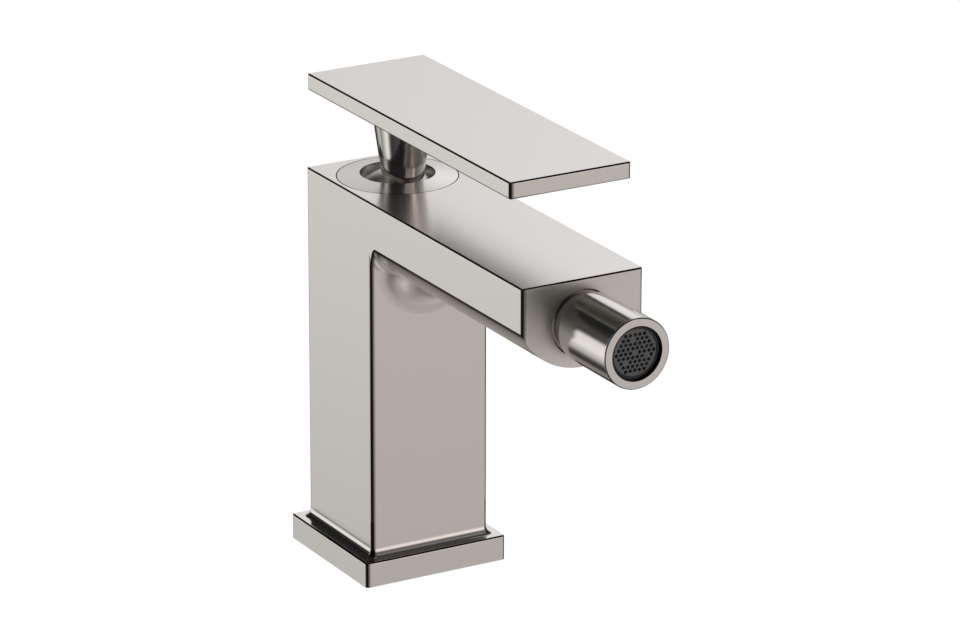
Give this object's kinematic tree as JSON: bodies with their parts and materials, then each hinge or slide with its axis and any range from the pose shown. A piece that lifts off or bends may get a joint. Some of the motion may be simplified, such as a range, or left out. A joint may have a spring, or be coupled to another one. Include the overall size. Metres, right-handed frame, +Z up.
{
  "type": "bidet mixer tap",
  "caption": "Square deck-mounted bidet mixer with a flat top lever on a conical stem, a straight spout with a rounded belly, and a swivelling nozzle with an aerator.",
  "frame": {"origin": "centre of the foot on the deck, under the column's middle", "axes": "+Z up out of the deck; the spout and the closed lever point along -Y; +X to the right of someone who faces the spout"},
  "size_m": [0.0506, 0.1719, 0.1578],
  "materials": {
    "nickel": "brushed nickel plating on brass",
    "raw_brass": "machined, unplated",
    "steel": "machined stainless steel",
    "rubber": "moulded black rubber",
    "ceramic": "lapped alumina ceramic",
    "white_plastic": "moulded acetal",
    "grey_plastic": "moulded grey plastic"
  },
  "bodies": {
    "mixer_body": {"body": "nickel", "foot_insert": "raw_brass", "base_plate": "nickel", "base_gasket": "rubber", "cover_disc": "nickel", "cartridge_nut": "raw_brass", "cartridge_housing": "grey_plastic", "housing_o_ring": "rubber", "cartridge_base": "grey_plastic", "port_seals": "rubber", "fixed_disc": "ceramic", "ball_stub": "nickel", "stub_o_ring": "rubber"},
    "cartridge_rotor": {"rotor": "white_plastic", "rotor_o_ring": "rubber", "spindle_pin": "steel"},
    "disc_slide": {"disc_carrier": "white_plastic", "moving_disc": "ceramic"},
    "lever": {"spindle": "steel", "ball_cap": "nickel", "lever_stem": "nickel", "lever_stud": "steel", "lever_plate": "nickel", "grub_screw": "steel", "screw_plug": "grey_plastic"},
    "swivel_seat": {"ball_seat": "white_plastic"},
    "nozzle": {"nozzle_sleeve": "nickel", "nozzle_ring": "nickel", "ball_seal": "rubber", "aerator_washer": "rubber", "aerator_housing": "grey_plastic", "flow_regulator": "white_plastic", "aerator_face": "grey_plastic"}
  },
  "joints": [
    {"name": "lever_turn", "type": "hinge", "parent": "mixer_body", "child": "cartridge_rotor", "pos_m": [0, -0.0006, 0.1116], "axis": [0, 0, 1], "range_deg": [-50, 50]},
    {"name": "lever_lift", "type": "hinge", "parent": "cartridge_rotor", "child": "lever", "pos_m": [0, -0.0006, 0.1116], "axis": [-1, 0, 0], "range_deg": [0, 25]},
    {"name": "disc_shift", "type": "slide", "parent": "cartridge_rotor", "child": "disc_slide", "axis": [0, -1, 0], "range_m": [0, 0.0033]},
    {"name": "nozzle_side", "type": "hinge", "parent": "mixer_body", "child": "swivel_seat", "pos_m": [0, -0.1256, 0.1126], "axis": [0, 0, 1], "range_deg": [-15, 15]},
    {"name": "nozzle_tilt", "type": "hinge", "parent": "swivel_seat", "child": "nozzle", "pos_m": [0, -0.1256, 0.1126], "axis": [1, 0, 0], "range_deg": [-15, 15]}
  ],
  "couplings": [
    {"joint": "disc_shift", "follows": "lever_lift", "m_per_rad": 0.007441}
  ]
}
